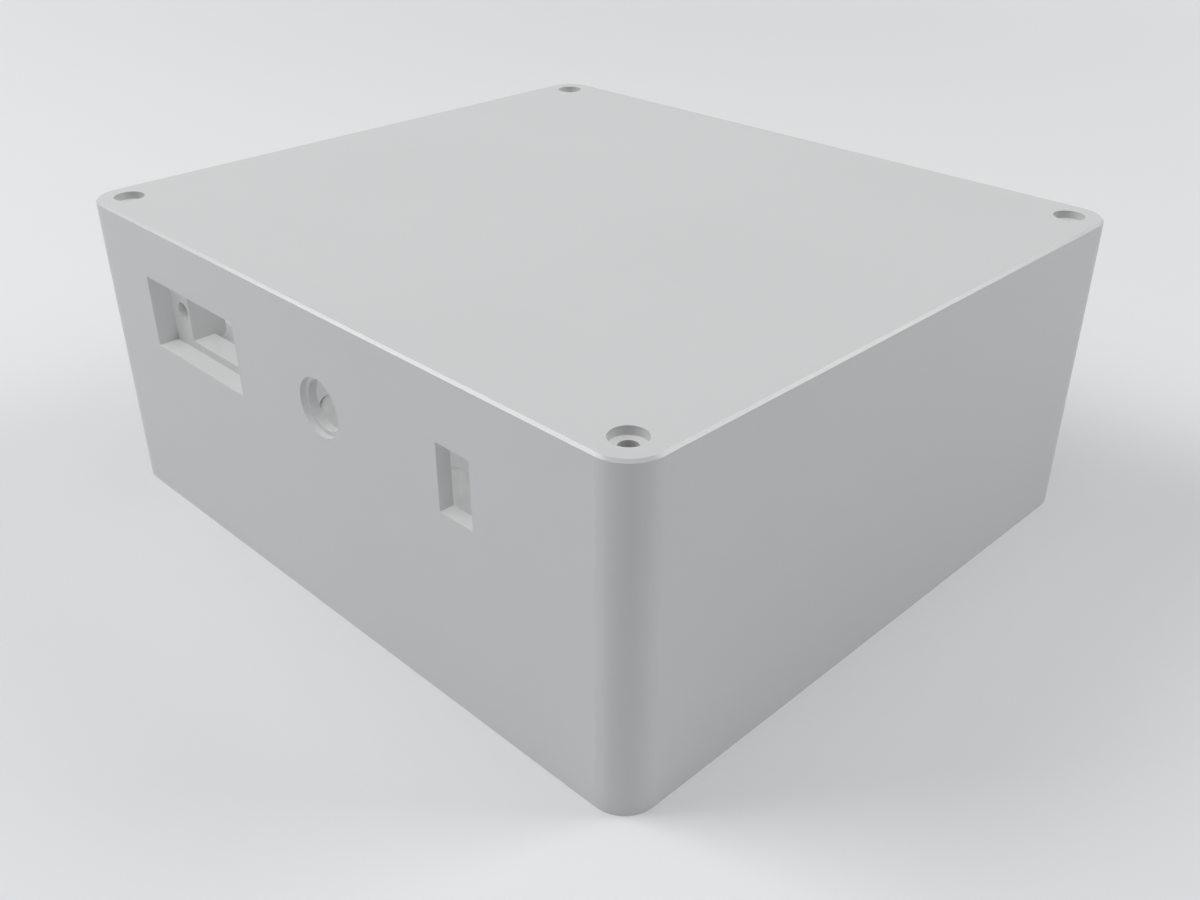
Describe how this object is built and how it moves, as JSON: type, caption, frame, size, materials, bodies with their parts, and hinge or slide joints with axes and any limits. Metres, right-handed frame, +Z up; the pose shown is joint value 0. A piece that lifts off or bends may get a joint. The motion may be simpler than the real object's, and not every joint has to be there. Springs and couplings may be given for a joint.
{
  "type": "battery pack housing",
  "caption": "Light grey plastic box with rounded corners and a flush screw-down lid; its front panel has a stepped module recess, a jack hole and a switch slot, with cells in holders inside.",
  "frame": {"origin": "centre of the underside of the tub", "axes": "+X to the right along the front panel, -Y out of the front panel, +Z up through the lid"},
  "size_m": [0.166, 0.148, 0.069],
  "materials": {
    "housing": "fine satin moulding",
    "holder": "plain moulding",
    "cell": "plated can in a sleeve"
  },
  "bodies": {
    "root": {"housing_body": "housing", "lid": "housing", "cell_holder_1": "holder", "cell_holder_2": "holder", "cell_holder_3": "holder", "cell_holder_4": "holder", "cell_01": "cell", "cell_02": "cell", "cell_03": "cell", "cell_04": "cell", "cell_05": "cell", "cell_06": "cell", "cell_07": "cell", "cell_08": "cell", "cell_09": "cell", "cell_10": "cell", "cell_11": "cell", "cell_12": "cell", "cell_13": "cell", "cell_14": "cell", "cell_15": "cell", "cell_16": "cell", "cell_17": "cell", "cell_18": "cell", "cell_19": "cell", "cell_20": "cell", "cell_21": "cell", "cell_22": "cell", "cell_23": "cell", "cell_24": "cell", "cell_25": "cell", "cell_26": "cell", "cell_27": "cell", "cell_28": "cell", "cell_29": "cell", "cell_30": "cell", "cell_31": "cell", "cell_32": "cell", "cell_33": "cell", "cell_34": "cell", "cell_35": "cell", "cell_36": "cell", "cell_37": "cell", "cell_38": "cell", "cell_39": "cell", "cell_40": "cell", "cell_41": "cell", "cell_42": "cell", "cell_43": "cell", "cell_44": "cell", "cell_45": "cell", "cell_46": "cell", "cell_47": "cell", "cell_48": "cell"}
  },
  "joints": []
}
